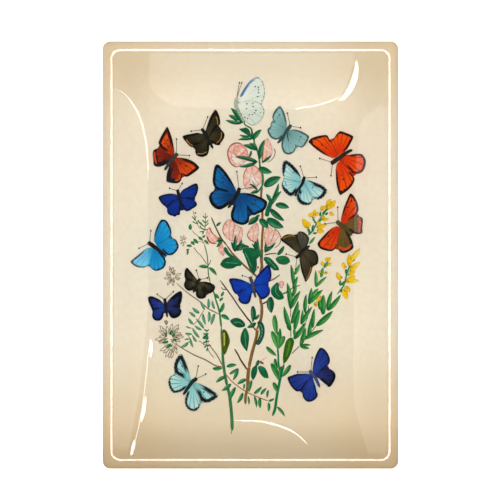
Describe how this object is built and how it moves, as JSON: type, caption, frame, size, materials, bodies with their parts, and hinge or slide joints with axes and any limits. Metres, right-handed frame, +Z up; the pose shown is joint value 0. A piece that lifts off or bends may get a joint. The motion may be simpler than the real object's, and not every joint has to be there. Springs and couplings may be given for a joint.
{
  "type": "decoupage glass tray",
  "caption": "Shallow rectangular glass tray with a flat rim and a soft rounded well, a printed paper sheet of butterflies and plants glued beneath it, on clear bumpers.",
  "frame": {"origin": "on the table under the middle of the tray", "axes": "+Z up out of the well, +Y along the long side towards the top of the printed picture, +X to the picture's right"},
  "size_m": [0.211, 0.305, 0.02],
  "materials": {
    "clear_glass": "fire polished, clear",
    "printed_paper": "cream antique print with coloured inks, bonded to the glass",
    "backing_paper": "plain varnished paper",
    "clear_bumper": "clear soft polyurethane, glossy"
  },
  "bodies": {
    "root": {"glass_tray": "clear_glass", "print_sheet": "printed_paper", "backing_sheet": "backing_paper", "bumper_near_left": "clear_bumper", "bumper_near_right": "clear_bumper", "bumper_far_left": "clear_bumper", "bumper_far_right": "clear_bumper"}
  },
  "joints": []
}
